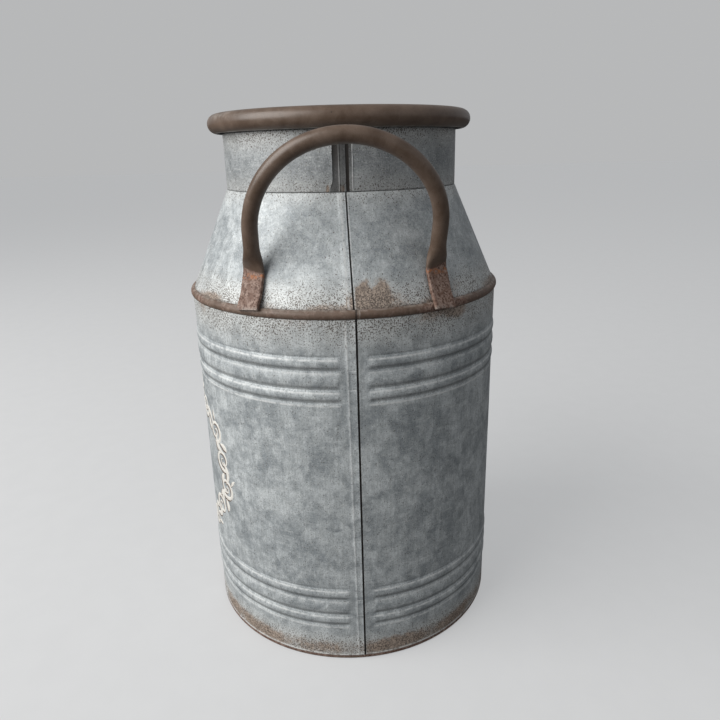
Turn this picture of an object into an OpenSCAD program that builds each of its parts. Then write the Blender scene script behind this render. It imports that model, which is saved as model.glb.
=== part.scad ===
// Galvanised milk can: a rolled sheet body with swaged beads, a conical
// shoulder, a straight neck with a split-tube rim, a pressed base and two
// tube handles with flattened ends.
// Millimetres, +Z up. The origin is the centre of the foot, on the floor.
// The handles are on +X and -X; the lock seams face +X.

/* [Overall] */
// Outer radius of the cylindrical body
body_r = 120; // [90:1:150]
// Height of the shoulder line above the floor
shoulder_z = 272.5; // [230:0.5:340]
// Height of the neck line above the floor
neck_z = 347.6; // [325:0.1:430]
// Outer radius of the neck
neck_r = 87.4; // [70:0.1:100]
// Height of the neck above its line, up to the middle of the rim
neck_h = 45.8; // [35:0.1:70]
// Thickness of the sheet metal
sheet = 0.7; // [0.7:0.05:1]
// Gap left in each folded or slipped joint
fit = 0.3; // [0.2:0.05:0.5]

/* [Shoulder joint] */
// Outer radius of the rolled band where body and shoulder meet
band_r = 3.3; // [2.8:0.1:4]
// How far the band stands proud of the body
band_proud = 1.5; // [1.2:0.1:1.8]

/* [Swaged beads] */
// Height of the lowest bead group above the floor
bead_low_z = 31.7; // [28:0.1:45]
// Height of the upper bead group above the floor
bead_high_z = 213; // [120:0.5:222]
// Heights of the three beads of a group, from the bottom up
bead_w = [9.3, 13.4, 9.5];
// How far a bead's crest stands above the valleys beside it
bead_rise = 1.0; // [0.5:0.1:1.6]
// How far the valleys lie inside the body's radius
bead_dip = 0.4; // [0.2:0.1:0.8]
// Direction in which the beads begin, past the body seam, in degrees
bead_start = 6.2; // [4:0.1:10]
// Direction in which they end, before the body seam, in degrees
bead_end = -1.3; // [-5:0.1:0]

/* [Seams] */
// How far a lock seam stands proud of its sheet
seam_proud = 0.9; // [0.6:0.1:1.2]
// Width of the body's lock seam
body_seam_w = 4.8; // [3:0.1:8]
// Direction of the middle of the body's lock seam, in degrees
body_seam_at = 2.25; // [1.5:0.05:3]
// Width of the shoulder's lock seam
cone_seam_w = 4; // [3:0.1:8]
// Direction of the middle of the shoulder's lock seam, in degrees
cone_seam_at = 1.3; // [0:0.1:3]
// Width of the neck's lap seam
neck_seam_w = 13.2; // [6:0.1:16]
// Direction of the middle of the neck's lap seam, in degrees
neck_seam_at = 0.9; // [-2:0.1:3]

/* [Neck and rim] */
// Height of the shoulder's collar inside the neck
collar_h = 9; // [6:0.5:14]
// Outer radius of the rim's rolled tube
rim_tube_r = 6.68; // [5:0.02:8]
// How far the middle of the rim's tube lies outside the neck
rim_offset = 3.8; // [3:0.1:4.2]
// Width of the open slot under the rim, outside the neck
rim_slot_w = 4.2; // [2.5:0.1:5]

/* [Base] */
// Clear width inside the folded foot, for the base's flange
foot_gap = 1.4; // [1.3:0.1:1.8]
// Radius of the foot's rounded outer edge
foot_round = 1.8; // [1.2:0.1:2]
// Height of the inner leg of the folded foot
foot_fold_h = 7; // [5:0.5:10]
// Radius of the raised middle of the base
base_step_r = 88; // [50:1:100]
// Height of the raised middle of the base
base_step_h = 2; // [1:0.5:4]

/* [Handles] */
// Outer diameter of the handle's tube
handle_d = 10.5; // [8:0.5:13]
// Wall of the handle's tube
handle_wall = 1.2; // [1:0.1:2]
// Distance between the middles of a handle's two legs
handle_w = 121; // [90:1:130]
// Length of a leg from its bend up to the arch
handle_leg = 30; // [24:0.5:50]
// Outward lean of the handle from upright, in degrees
handle_lean = 22; // [10:1:35]
// Direction of the first handle's middle, in degrees
handle_at = 0.6; // [-3:0.1:3]
// Height of the handle's bend above the shoulder line
bend_h = 25.5; // [20:0.5:35]
// Width of the flattened ends
tab_w = 15.6; // [12:0.1:20]
// Thickness of the flattened ends
tab_t = 3; // [2:0.1:4]
// Length of a flattened end below the bend
tab_len = 29; // [20:0.5:32]
// Length over which the tube flattens above the bend
flatten_h = 20; // [12:0.5:24]

/* [Hidden] */
$fn = 96;
BEAD_STEPS = 8;
ROUND_STEPS = 4;
TINY = 0.02;

zinc = "silver";
zinc_dark = "darkgray";
brown = "saddlebrown";

// Sheet lines.
wall_r = body_r - sheet;
neck_in = neck_r - sheet;

// Slope of the shoulder: its angle from upright, and the width of its wall
// measured level.
slope = atan2(body_r - neck_r, neck_z - shoulder_z);
cone_w = sheet / cos(slope);
function cone_r(z) = body_r - (z - shoulder_z) * tan(slope);

// Band: a rolled edge of the body, closed over the lower edge of the shoulder.
band_c = body_r + band_proud - band_r;
band_z = shoulder_z + sheet;
band_in = band_r - sheet;
// Heights at which the shoulder's sheet ends inside the band, and at which the
// body's lock seam ends under it.
cone_foot_z = band_z - band_in / 2 + fit;
seam_top = band_z - 0.9 * band_r;
// Distance from the band's middle out to the shoulder's face, and the angle at
// which the curl ends, where its outer edge stands one sheet off that face.
band_to_cone = (body_r - band_c) * cos(slope) - (band_z - shoulder_z) * sin(slope);
band_curl_end = slope + acos((band_to_cone + sheet) / band_r);

// Rim: a split tube slipped over the neck's edge. Angles are measured in the
// section, from the outward direction.
rim_r = neck_r + rim_offset;
rim_z = neck_z + neck_h;
rim_in = rim_tube_r - sheet;
rim_inner_end = 180 + acos((rim_r - neck_in + fit) / rim_in);
rim_lip_end = -acos((neck_r + rim_slot_w - rim_r) / rim_tube_r);
neck_top = rim_z + sqrt(pow(rim_in, 2) - pow(rim_r - neck_in, 2)) - fit;

// Base: its disc lies on the inner leg of the foot's fold, and its flange
// hangs between the two legs.
fold_r = wall_r - foot_gap;
flange_r = wall_r - (foot_gap - sheet) / 2;
base_z = foot_fold_h + fit;

// Handle: the bend lies on the shoulder, half the tab's thickness and one
// joint's gap above the sheet.
bend_z = shoulder_z + bend_h;
bend_r = cone_r(bend_z) + (tab_t / 2 + fit) / cos(slope);
leg_y = handle_w / 2;
bend_at = asin(leg_y / bend_r);
bend_x = bend_r * cos(bend_at);

bead_total = bead_w[0] + bead_w[1] + bead_w[2];

// Points up one bead of height w that starts at height z, as [radius, height].
function bead(z, w) = [
    for (i = [0 : BEAD_STEPS])
        [body_r - bead_dip + bead_rise * sin(180 * i / BEAD_STEPS), z + w * i / BEAD_STEPS]
];

// Points up one group of three beads, with a short lead-in at each end.
function bead_group(z) = concat(
    [[body_r, z - 2 * bead_dip]],
    bead(z, bead_w[0]),
    bead(z + bead_w[0], bead_w[1]),
    bead(z + bead_w[0] + bead_w[1], bead_w[2]),
    [[body_r, z + bead_total + 2 * bead_dip]]
);

// Points of a quarter-round from the floor up to the body's outer face.
function foot_edge(r) = [
    for (i = [0 : ROUND_STEPS])
        let (a = -90 + 90 * i / ROUND_STEPS)
        [body_r - r + r * cos(a), r + r * sin(a)]
];

// Section of a wall whose outer line is the list of points, from the bottom up.
module sheet_section(outer) {
    inner = [for (i = [len(outer) - 1 : -1 : 0]) [outer[i][0] - sheet, outer[i][1]]];
    polygon(concat(outer, inner));
}

// Section of a rolled tube's wall between two angles, counted anticlockwise.
module curl_section(r, from, to) {
    reach = 2 * r;
    steps = 6;
    difference() {
        circle(r);
        circle(r - sheet);
        polygon(concat([[0, 0]], [
            for (i = [0 : steps])
                let (a = to + (from + 360 - to) * i / steps)
                [reach * cos(a), reach * sin(a)]
        ]));
    }
}

// Section of the body: folded foot, wall and the band rolled over its top.
module body_section(bead_lines) {
    top_z = band_z - band_in / 2;
    sheet_section(concat([[body_r, foot_round]], bead_lines, [[body_r, top_z]]));
    polygon(concat(
        foot_edge(foot_round),
        [[wall_r, foot_round], [wall_r, sheet], [fold_r, sheet], [fold_r, foot_fold_h],
         [fold_r - sheet, foot_fold_h], [fold_r - sheet, 0]]
    ));
    translate([band_c, band_z])
        curl_section(band_r, -acos((wall_r - band_c) / band_r), band_curl_end);
}

// A strip that stands proud of the line from point a to point b, revolved over
// a width w, centred on the direction at.
module seam(a, b, at, w) {
    span = w / a[0] * 180 / PI;
    root = sheet / 2;
    rotate([0, 0, at - span / 2])
        rotate_extrude(angle = span)
            polygon([[a[0] - root, a[1]], [a[0] + seam_proud, a[1]],
                     [b[0] + seam_proud, b[1]], [b[0] - root, b[1]]]);
}

// Revolves its children over the plain panel beside the body's seam.
module over_panel() {
    rotate([0, 0, bead_end])
        rotate_extrude(angle = bead_start - bead_end)
            children();
}

// Rolled body sheet. The beads stop short of the lock seam: there their crests
// are cut back to the sheet's face, and their valleys are filled to it.
module body_shell() {
    beads_z = bead_low_z - 2 * bead_dip;
    beads_h = bead_high_z + bead_total + 2 * bead_dip - beads_z;
    color(zinc) union() {
        difference() {
            rotate_extrude()
                body_section(concat(bead_group(bead_low_z), bead_group(bead_high_z)));
            over_panel()
                translate([body_r + TINY, beads_z])
                    square([bead_rise, beads_h]);
        }
        over_panel()
            translate([wall_r + TINY, beads_z])
                square([sheet - 2 * TINY, beads_h]);
        seam([body_r, foot_round], [body_r, seam_top], body_seam_at, body_seam_w);
    }
}

// Rolled shoulder sheet, with its lock seam and the collar that the neck fits over.
module shoulder_cone() {
    collar_r = neck_in - fit;
    turn_z = neck_z - fit;
    seam_z = band_z + band_r + fit;
    color(zinc) union() {
        rotate_extrude()
            polygon([
                [cone_r(cone_foot_z), cone_foot_z],
                [cone_r(turn_z), turn_z],
                [collar_r, turn_z],
                [collar_r, neck_z + collar_h],
                [collar_r - sheet, neck_z + collar_h],
                [collar_r - sheet, turn_z - sheet],
                [cone_r(turn_z - sheet) - cone_w, turn_z - sheet],
                [cone_r(cone_foot_z) - cone_w, cone_foot_z]
            ]);
        seam([cone_r(seam_z), seam_z], [cone_r(turn_z), turn_z], cone_seam_at, cone_seam_w);
    }
}

// Straight neck sheet with its wide lap seam, whose ends are drawn in a little.
module neck_collar() {
    inset = sheet / 2;
    color(zinc_dark) union() {
        rotate_extrude()
            polygon([[neck_in, neck_z], [neck_r, neck_z], [neck_r, neck_top], [neck_in, neck_top]]);
        seam([neck_r, neck_z + inset], [neck_r, neck_top - inset], neck_seam_at, neck_seam_w);
    }
}

// Split tube over the neck's edge, open underneath beside the neck.
module rim_ring() {
    color(brown)
        rotate_extrude()
            translate([rim_r, rim_z])
                curl_section(rim_tube_r, rim_lip_end, rim_inner_end);
}

// Pressed base with a raised middle, its flange down inside the folded foot.
module base_pan() {
    slant = 2 * base_step_h;
    color(zinc_dark)
        rotate_extrude()
            polygon([
                [0, base_z + base_step_h],
                [base_step_r, base_z + base_step_h],
                [base_step_r + slant, base_z],
                [flange_r - sheet, base_z],
                [flange_r - sheet, sheet + fit],
                [flange_r, sheet + fit],
                [flange_r, base_z + sheet],
                [base_step_r + slant + sheet, base_z + sheet],
                [base_step_r + sheet, base_z + base_step_h + sheet],
                [0, base_z + base_step_h + sheet]
            ]);
}

// Places its children at a bend, with X out of the shoulder's face, Y along the
// tab's width and Z up the shoulder's slope.
module at_bend(side) {
    rotate([0, 0, side * bend_at])
        translate([bend_r, 0, bend_z])
            rotate([0, -slope, 0])
                children();
}

// Places its children on the leg's line, with Z up the leg from its bend.
module at_leg(side) {
    translate([bend_x, side * leg_y, bend_z])
        rotate([0, handle_lean, 0])
            children();
}

// Arch and legs of a handle as a round bar of diameter d. The legs are a hair
// thinner than the arch and run a little way into it.
module handle_bar(d) {
    overlap = 1;
    at_leg(0)
        translate([0, 0, handle_leg])
            rotate([90, 0, 90])
                rotate_extrude(angle = 180)
                    translate([leg_y, 0])
                        circle(d / 2);
    for (side = [-1, 1])
        at_leg(side)
            translate([0, 0, flatten_h - overlap])
                cylinder(h = handle_leg - flatten_h + 2 * overlap, d = d - 2 * TINY);
}

// Stretch of a leg that goes from the flat end at the bend to the round tube.
module flattened(side) {
    at_leg(side)
        rotate([0, 0, side * bend_at])
            intersection() {
                cylinder(h = flatten_h, d1 = tab_w, d2 = handle_d);
                translate([0, tab_w, 0])
                    rotate([90, 0, 0])
                        linear_extrude(2 * tab_w)
                            polygon([[-tab_t / 2, 0], [tab_t / 2, 0],
                                     [handle_d / 2, flatten_h], [-handle_d / 2, flatten_h]]);
            }
}

// Tube handle: bent round, its ends flattened and laid down on the shoulder.
// A small roll at each bend joins the two flats.
module handle() {
    roll_d = tab_t + fit;
    union() {
        difference() {
            handle_bar(handle_d);
            handle_bar(handle_d - 2 * handle_wall);
        }
        for (side = [-1, 1]) {
            flattened(side);
            at_bend(side)
                rotate([90, 0, 0])
                    cylinder(h = tab_w - fit, d = roll_d, center = true);
            difference() {
                at_bend(side)
                    translate([-tab_t / 2, -tab_w / 2, -tab_len])
                        cube([tab_t, tab_w, tab_len]);
                rotate_extrude()
                    translate([band_c, band_z])
                        circle(band_r + fit);
            }
        }
    }
}

module handle_right() {
    color(brown) rotate([0, 0, handle_at]) handle();
}

module handle_left() {
    color(brown) rotate([0, 0, handle_at + 180]) handle();
}

body_shell();
shoulder_cone();
neck_collar();
rim_ring();
base_pan();
handle_right();
handle_left();
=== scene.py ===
"""Looks of a galvanised milk can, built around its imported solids.

Sizes are in metres, angles in degrees. Directions are counted round the can's
axis from +X, where the lock seams are. Every piece lies in the row's frame.
"""

import logging
from dataclasses import dataclass
from enum import Enum
from math import acos, asin, atan2, ceil, copysign, cos, degrees, hypot, pi, radians, sin, tan, tau
from typing import Callable, Sequence

import bmesh
import bpy
from mathutils import Matrix, Quaternion, Vector, noise


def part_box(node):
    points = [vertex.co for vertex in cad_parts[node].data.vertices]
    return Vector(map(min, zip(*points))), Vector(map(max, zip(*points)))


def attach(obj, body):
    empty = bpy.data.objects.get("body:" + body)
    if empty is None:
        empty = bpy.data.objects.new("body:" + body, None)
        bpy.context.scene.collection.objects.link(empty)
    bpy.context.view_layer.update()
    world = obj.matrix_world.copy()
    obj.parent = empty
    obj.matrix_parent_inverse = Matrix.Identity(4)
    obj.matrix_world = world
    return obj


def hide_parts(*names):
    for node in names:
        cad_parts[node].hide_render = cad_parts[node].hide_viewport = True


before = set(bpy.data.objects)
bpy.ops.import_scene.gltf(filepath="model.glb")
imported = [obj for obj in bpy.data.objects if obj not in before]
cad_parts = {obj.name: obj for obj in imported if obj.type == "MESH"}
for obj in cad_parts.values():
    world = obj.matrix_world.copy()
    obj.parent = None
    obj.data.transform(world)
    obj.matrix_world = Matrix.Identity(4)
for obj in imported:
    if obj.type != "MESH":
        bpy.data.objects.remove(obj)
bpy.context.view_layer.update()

MM = 0.001
Point = tuple[float, float]
Colour = tuple[float, float, float]
Material = bpy.types.Material
Socket = bpy.types.NodeSocket
log = logging.getLogger("milk_can")


class Slot(Enum):
    """The record's material slots."""

    ZINC = "zinc"
    ZINC_DARK = "zinc_dark"
    BROWN = "brown_paint"


class Mask(Enum):
    """Masks that the meshes carry from vertex to vertex, each from 0 to 1."""

    # Pale wear, and painted highlights on edges and crests that face the light.
    WEAR = "wear"
    # Dirt, and painted shade in seam gaps, bead valleys, creases, under the band and rim, and inside the
    # rim's tube.
    GRIME = "grime"
    SPECK = "speck"
    RUST = "rust"


# Numbers


def smooth(value: float, low: float, high: float) -> float:
    """Returns 0 below low, 1 above high and a smooth rise between; low may be the higher."""
    t = min(1.0, max(0.0, (value - low) / (high - low)))
    return t * t * (3 - 2 * t)


def peak(value: float, middle: float, width: float) -> float:
    """Returns 1 at middle, falling smoothly to 0 at width on either side."""
    return 1 - smooth(abs(value - middle), 0, width)


def along(points: Sequence[Point], at: float) -> float:
    """Reads a line of points at one place.

    Args:
        points: (place, value) pairs in rising order of place.
        at: The place to read.

    Returns:
        The value there, and the end's value beyond either end.
    """
    if at <= points[0][0]:
        return points[0][1]
    for (a, low), (b, high) in zip(points, points[1:]):
        if at <= b:
            return low + (high - low) * (at - a) / (b - a)
    return points[-1][1]


def arc(centre: Point, radius: float, start: float, end: float, steps: int) -> list[Point]:
    """Returns points on an arc, with angles in degrees from the outward direction."""
    angles = [radians(start + (end - start) * i / steps) for i in range(steps + 1)]
    return [(centre[0] + radius * cos(a), centre[1] + radius * sin(a)) for a in angles]


def levels(low: float, high: float, gap: float) -> list[float]:
    """Returns even heights after low, up to and with high, no more than gap apart."""
    count = max(1, ceil((high - low) / gap))
    return [low + (high - low) * i / count for i in range(1, count + 1)]


# Sizes


@dataclass(frozen=True)
class CanSizes:
    """Sizes that several pieces share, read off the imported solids."""

    body_r: float
    band_c: float
    band_z: float
    neck_r: float
    neck_z: float
    rim_r: float
    rim_z: float
    rim_tube: float = 6.68 * MM
    sheet: float = 0.7 * MM
    band_tube: float = 3.3 * MM

    @classmethod
    def from_frame(cls, band_proud: float = 1.5 * MM, curl_end: float = 74.6) -> "CanSizes":
        """Works the sizes out from the nodes' boxes.

        Args:
            band_proud: How far the band stands proud of the body.
            curl_end: Angle at which the band's curl ends, in degrees.

        Returns:
            The sizes.
        """
        body_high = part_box("body_shell")[1]
        neck_low, neck_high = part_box("neck_collar")
        rim_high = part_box("rim_ring")[1]
        return cls(
            body_r=body_high.y - band_proud,
            band_c=body_high.y - cls.band_tube,
            band_z=body_high.z - cls.band_tube * sin(radians(curl_end)),
            neck_r=neck_high.y,
            neck_z=neck_low.z,
            rim_r=rim_high.y - cls.rim_tube,
            rim_z=rim_high.z - cls.rim_tube,
        )

    @property
    def wall_r(self) -> float:
        """Inner radius of the body's wall."""
        return self.body_r - self.sheet

    @property
    def shoulder_z(self) -> float:
        """Height at which the shoulder's face would meet the body's."""
        return self.band_z - self.sheet

    @property
    def slope(self) -> float:
        """Slope of the shoulder, in degrees from upright."""
        return degrees(atan2(self.body_r - self.neck_r, self.neck_z - self.shoulder_z))

    def cone_r(self, z: float) -> float:
        """Returns the shoulder's outer radius at a height."""
        return self.body_r - (z - self.shoulder_z) * tan(radians(self.slope))


# Meshes


class Shell:
    """A closed section turned about the can's axis, with masks on its vertices."""

    def __init__(self, outer: Sequence[Point], inner: Sequence[Point], stops: Sequence[float],
                 coarse: float = 1.6) -> None:
        """Turns the section all the way round.

        Args:
            outer: Outer line of the section, as (radius, height).
            inner: Line back to the outer line's start.
            stops: Directions that get an edge, in rising order, in degrees.
            coarse: Widest step between two edges, in degrees.
        """
        self.bm = bmesh.new()
        self.masks = {mask: self.bm.verts.layers.float.new(mask.value) for mask in Mask}
        self.outside = self.bm.verts.layers.float.new("outside")
        start = radians(stops[0])
        ring: list = []
        for side, line in ((1.0, outer), (0.0, inner)):
            for r, z in line:
                vert = self.bm.verts.new((r * cos(start), r * sin(start), z))
                vert[self.outside] = side
                ring.append(vert)
        ring += [self.bm.edges.new((a, b)) for a, b in zip(ring, ring[1:] + ring[:1])]
        for low, high in zip(stops, list(stops[1:]) + [stops[0] + 360]):
            turned = bmesh.ops.spin(self.bm, geom=ring, cent=(0, 0, 0), axis=(0, 0, 1), dvec=(0, 0, 0),
                                    angle=radians(high - low), use_merge=False,
                                    steps=max(1, ceil((high - low) / coarse)))
            ring = turned["geom_last"]
        bmesh.ops.remove_doubles(self.bm, verts=self.bm.verts, dist=0.002 * MM)
        bmesh.ops.recalc_face_normals(self.bm, faces=self.bm.faces)

    def press(self, relief: Callable[["Spot"], None]) -> None:
        """Moves every vertex and sets its masks.

        Args:
            relief: Changes the spot that it is given.
        """
        for vert in self.bm.verts:
            spot = Spot(degrees(atan2(vert.co.y, vert.co.x)), hypot(vert.co.x, vert.co.y),
                        vert.co.z, vert[self.outside] > 0.5)
            relief(spot)
            turn = radians(spot.az)
            vert.co = (spot.r * cos(turn), spot.r * sin(turn), spot.z)
            for mask, layer in self.masks.items():
                vert[layer] = min(1.0, max(0.0, spot.masks[mask]))

    def finish(self, name: str, materials: Sequence[Material], node: str) -> bpy.types.Object:
        """Makes the shell a piece that stands for a CAD node."""
        return finish_piece(self.bm, name, materials, [node])

    def paint(self, index: int, inside: Callable[[Vector], bool]) -> None:
        """Gives a material index to the faces whose middle passes a test."""
        for face in self.bm.faces:
            if inside(face.calc_center_median()):
                face.material_index = index


class Spot:
    """One vertex of a shell in round coordinates, with its masks."""

    def __init__(self, az: float, r: float, z: float, outside: bool) -> None:
        """Starts a spot with every mask at 0."""
        self.az, self.r, self.z, self.outside = az, r, z, outside
        self.masks = dict.fromkeys(Mask, 0.0)

    def rise(self, low: float, high: float) -> float:
        """Returns how far its height has risen from low to high, from 0 to 1."""
        return smooth(self.z, low, high)

    def mark(self, **values: float) -> None:
        """Sets masks, by name, to values where those are more than they already are."""
        for name, value in values.items():
            self.masks[Mask(name)] = max(self.masks[Mask(name)], value)


def dent(az: float, z: float, size: float, depth: float, seed: float = 0.0) -> float:
    """Returns the gentle unevenness of hand-worked sheet, in metres.

    Args:
        az: Direction round the can.
        z: Height.
        size: Distance from one hollow to the next, roughly.
        depth: Most that it moves the sheet.
        seed: Shifts the pattern.
    """
    turn = radians(az)
    place = Vector((cos(turn) * 0.12, sin(turn) * 0.12, z)) / size
    return depth * noise.noise(place + Vector((seed, seed * 0.7, seed * 1.3)))


def finish_piece(bm: bmesh.types.BMesh, name: str, materials: Sequence[Material],
                 nodes: Sequence[str] = (), crease: float = 32.0) -> bpy.types.Object:
    """Makes a piece of a mesh, on the can's body.

    Args:
        bm: The mesh, which is freed.
        name: Name of the piece.
        materials: Its materials, in the order of the faces' indices.
        nodes: CAD nodes that it stands for.
        crease: Angle past which an edge is sharp, in degrees.

    Returns:
        The piece.
    """
    mesh = bpy.data.meshes.new(name)
    bm.to_mesh(mesh)
    bm.free()
    for material in materials:
        mesh.materials.append(material)
    mesh.shade_smooth()
    mesh.set_sharp_from_angle(angle=radians(crease))
    piece = bpy.data.objects.new(name, mesh)
    bpy.context.scene.collection.objects.link(piece)
    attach(piece, "root")
    if nodes:
        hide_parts(*nodes)
    log.info("%s: %d faces", name, len(mesh.polygons))
    return piece


# Materials


class Graph:
    """A material's node tree, built from the surface inwards."""

    def __init__(self, name: str) -> None:
        """Starts a material with one principled shader on its output."""
        self.material = bpy.data.materials.new(name)
        self.material.use_nodes = True
        self.tree = self.material.node_tree
        self.tree.nodes.clear()
        self.shader = self.add("BsdfPrincipled")
        self.add("OutputMaterial", Surface=self.shader.outputs[0])
        self.place = self.add("TexCoord").outputs["Object"]

    def feed(self, socket: Socket, value: object) -> None:
        """Links a socket to another, or sets its value."""
        if isinstance(value, Socket):
            self.tree.links.new(value, socket)
        elif isinstance(value, tuple) and len(value) == 3 and socket.type == "RGBA":
            socket.default_value = (*value, 1.0)
        else:
            socket.default_value = value

    def fill(self, node: bpy.types.Node, **inputs: object) -> None:
        """Feeds a node's inputs, by name, with _ for a space."""
        for key, value in inputs.items():
            self.feed(node.inputs[key.replace("_", " ")], value)

    def add(self, kind: str, choices: dict[str, str] | None = None, **inputs: object) -> bpy.types.Node:
        """Adds a node.

        Args:
            kind: Its type, after the word ShaderNode.
            choices: Its settings, by name.
            inputs: What goes into its inputs, by name.
        """
        node = self.tree.nodes.new("ShaderNode" + kind)
        for key, value in (choices or {}).items():
            setattr(node, key, value)
        self.fill(node, **inputs)
        return node

    def mask(self, mask: Mask) -> Socket:
        """Returns a mask that the mesh carries."""
        return self.add("Attribute", {"attribute_name": mask.value}).outputs["Fac"]

    def noise(self, scale: float, detail: float = 2.0, roughness: float = 0.5, distortion: float = 0.0,
              stretch: Colour | None = None) -> Socket:
        """Returns a noise value.

        Args:
            scale: Features in a metre, roughly.
            detail: Octaves.
            roughness: Strength of the finer octaves.
            distortion: How far the noise bends itself.
            stretch: Scale of the place along X, Y and Z, if not even.
        """
        place = self.place
        if stretch:
            place = self.add("Mapping", Vector=place, Scale=stretch).outputs[0]
        return self.add("TexNoise", Vector=place, Scale=scale, Detail=detail, Roughness=roughness,
                        Distortion=distortion).outputs["Fac"]

    def crystals(self, scale: float, bend: float) -> Socket:
        """Returns a random value for each crystal of the zinc, with bent edges."""
        wobble = self.add("TexNoise", Vector=self.place, Scale=scale * 0.9)
        shift = self.add("VectorMath", {"operation": "MULTIPLY_ADD"})
        for socket, value in zip(shift.inputs, (wobble.outputs["Color"], (bend,) * 3, self.place)):
            self.feed(socket, value)
        cells = self.add("TexVoronoi", {"feature": "SMOOTH_F1"}, Vector=shift.outputs[0], Scale=scale,
                         Smoothness=0.25)
        return self.add("SeparateColor", Color=cells.outputs["Color"]).outputs[0]

    def times(self, a: object, b: object) -> Socket:
        """Returns one value times another."""
        return self.calc("MULTIPLY", a, b)

    def calc(self, operation: str, a: object, b: object = 0.0) -> Socket:
        """Returns the result of one sum, by the name of a Math operation."""
        node = self.add("Math", {"operation": operation})
        self.feed(node.inputs[0], a)
        self.feed(node.inputs[1], b)
        return node.outputs[0]

    def blend(self, *parts: tuple[object, float]) -> Socket:
        """Returns the sum of values, each times its weight."""
        total: object = 0.0
        for value, weight in parts:
            total = self.calc("ADD", total, self.times(value, weight))
        return total

    def step(self, value: object, low: float, high: float, bottom: float = 0.0,
             top: float = 1.0) -> Socket:
        """Returns a smooth rise from bottom to top as value goes from low to high."""
        return self.add("MapRange", {"interpolation_type": "SMOOTHSTEP"}, Value=value, From_Min=low,
                        From_Max=high, To_Min=bottom, To_Max=top).outputs[0]

    def mix(self, factor: object, a: object, b: object, kind: str = "MIX") -> Socket:
        """Returns colour a with colour b laid over it by factor."""
        node = self.add("Mix", {"data_type": "RGBA", "blend_type": kind}, Factor=factor)
        colours = [s for s in node.inputs if s.type == "RGBA"]
        self.feed(colours[0], a)
        self.feed(colours[1], b)
        return next(s for s in node.outputs if s.type == "RGBA")

    def bump(self, height: Socket, distance: float) -> None:
        """Puts a bump of that height in metres on the shader."""
        node = self.add("Bump", Strength=1.0, Distance=distance, Height=height)
        self.fill(self.shader, Normal=node.outputs[0])


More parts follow.
